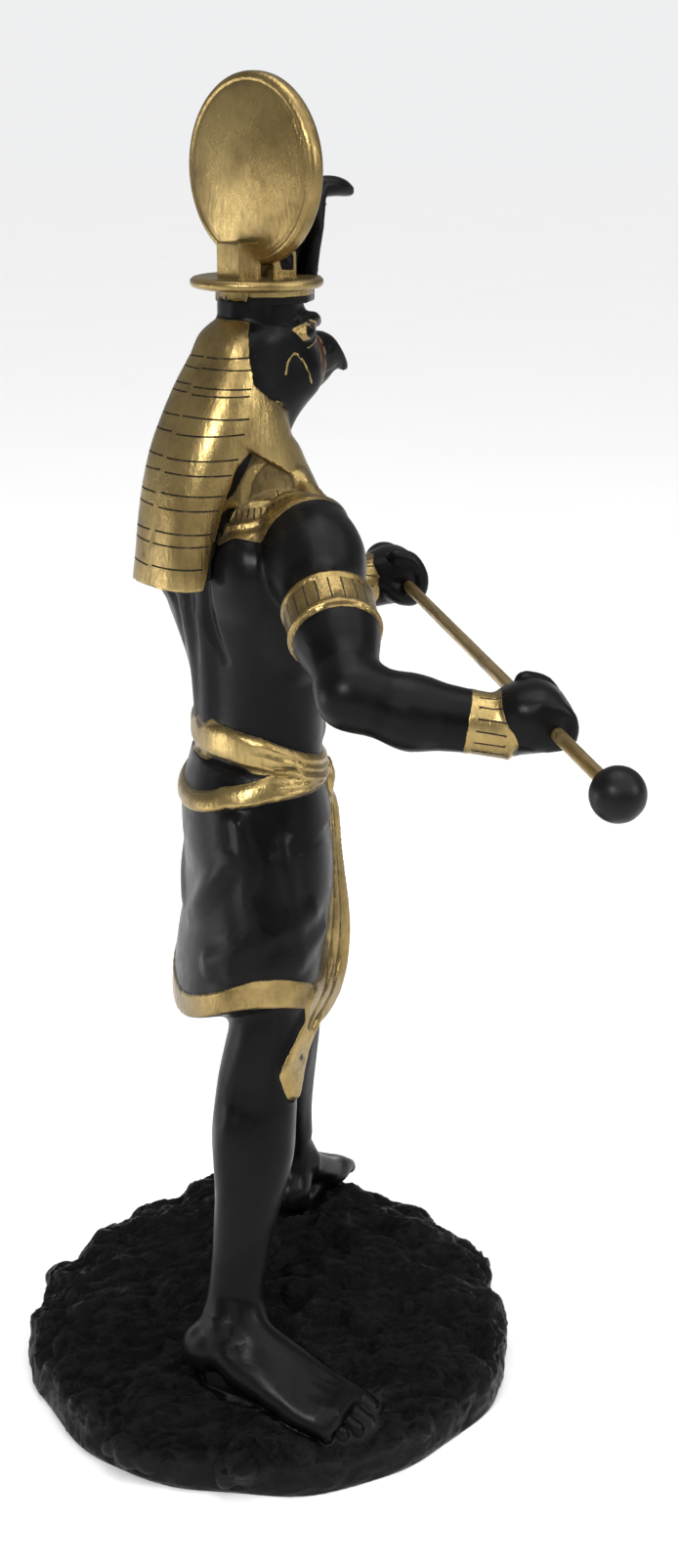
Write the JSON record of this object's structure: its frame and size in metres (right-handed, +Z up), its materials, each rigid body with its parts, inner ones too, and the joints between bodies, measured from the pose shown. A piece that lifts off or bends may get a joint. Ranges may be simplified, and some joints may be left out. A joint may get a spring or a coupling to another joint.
{
  "type": "falcon-headed figure",
  "caption": "Standing falcon-headed figure with sun disc crown on a round rocky mound, holding a slim level rod with ball ends.",
  "frame": {"origin": "centre of the mound's flat underside", "axes": "+Z up, the figure's hips face -Y, +X is the figure's left, the rod lies along X"},
  "size_m": [0.275, 0.1596, 0.412],
  "materials": {
    "black_resin": "satin",
    "antique_brass": "satin"
  },
  "bodies": {
    "root": {"figure": "black_resin", "rod": "antique_brass", "ball_right": "black_resin", "ball_left": "black_resin"}
  },
  "joints": []
}
